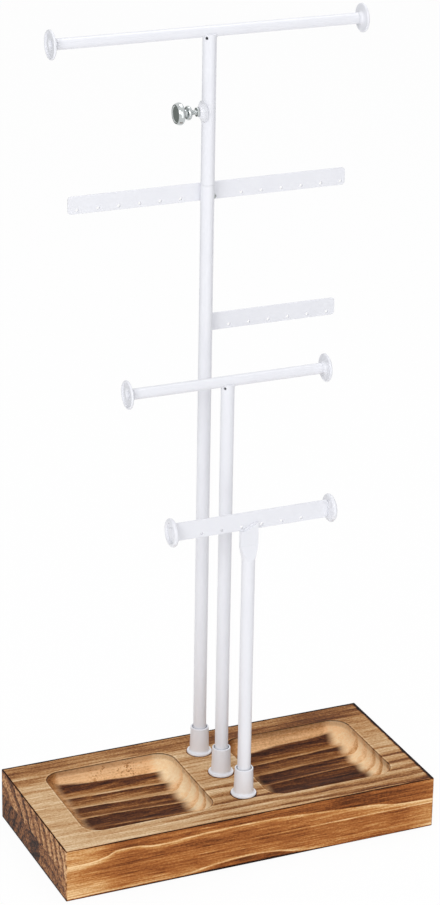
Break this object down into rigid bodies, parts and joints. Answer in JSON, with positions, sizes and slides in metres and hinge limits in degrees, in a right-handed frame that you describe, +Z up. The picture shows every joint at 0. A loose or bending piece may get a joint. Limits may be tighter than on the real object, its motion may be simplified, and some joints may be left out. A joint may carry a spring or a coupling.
{
  "type": "jewelry stand",
  "caption": "Upright stand that hangs necklaces and earrings on crossbars above a wooden block with carved trays.",
  "frame": {"origin": "centre of the stand's footprint, on the surface that it rests on", "axes": "+X along the block to the viewer's right, +Y from the low front hanger to the tall rear one, +Z up"},
  "size_m": [0.24, 0.11, 0.4958],
  "materials": {
    "torched_pine": "flame-darkened and matt lacquered",
    "white_coat": "satin powder coat",
    "zinc": "zinc plated",
    "polished_chrome": "polished",
    "nylon": "natural nylon",
    "foam": "dense foam"
  },
  "bodies": {
    "base": {"base_block": "torched_pine", "base_pads": "foam", "post_inserts": "zinc", "screw_washers": "zinc", "post_screws": "zinc", "rear_ferrule": "white_coat", "middle_ferrule": "white_coat", "front_ferrule": "white_coat", "rear_post": "white_coat", "rear_collar": "white_coat", "inner_rod": "white_coat", "collar_screw": "polished_chrome", "upper_earring_bar": "white_coat", "lower_earring_bar": "white_coat", "middle_post": "white_coat", "middle_bar": "white_coat", "middle_bar_cap_left": "white_coat", "middle_bar_cap_right": "white_coat", "front_post": "white_coat", "front_bar": "white_coat", "front_bar_cap_left": "white_coat", "front_bar_cap_right": "white_coat"},
    "guide": {"rod_guide": "nylon"},
    "sleeve": {"upper_tube": "white_coat", "tube_bush": "nylon", "thumbscrew_boss": "white_coat", "top_bar": "white_coat", "top_bar_cap_left": "white_coat", "top_bar_cap_right": "white_coat"},
    "stud": {"thumbscrew_stud": "polished_chrome", "thumbscrew_nut": "polished_chrome"},
    "knob": {"thumbscrew_knob": "polished_chrome"}
  },
  "joints": [
    {"name": "sleeve_swivel", "type": "hinge", "parent": "base", "child": "guide", "pos_m": [0.0011, 0.0309, 0.39825], "axis": [0, 0, 1], "continuous": true},
    {"name": "height_slide", "type": "slide", "parent": "guide", "child": "sleeve", "axis": [0, 0, 1], "range_m": [0, 0.03]},
    {"name": "thumbscrew_travel", "type": "slide", "parent": "sleeve", "child": "stud", "axis": [-1, 0, 0], "range_m": [0, 0.0016]},
    {"name": "thumbscrew_turn", "type": "hinge", "parent": "stud", "child": "knob", "pos_m": [-0.0109, 0.0309, 0.44125], "axis": [-1, 0, 0], "range_deg": [0, 1080]}
  ],
  "couplings": [
    {"joint": "thumbscrew_travel", "follows": "thumbscrew_turn", "m_per_rad": 0.000079577}
  ]
}
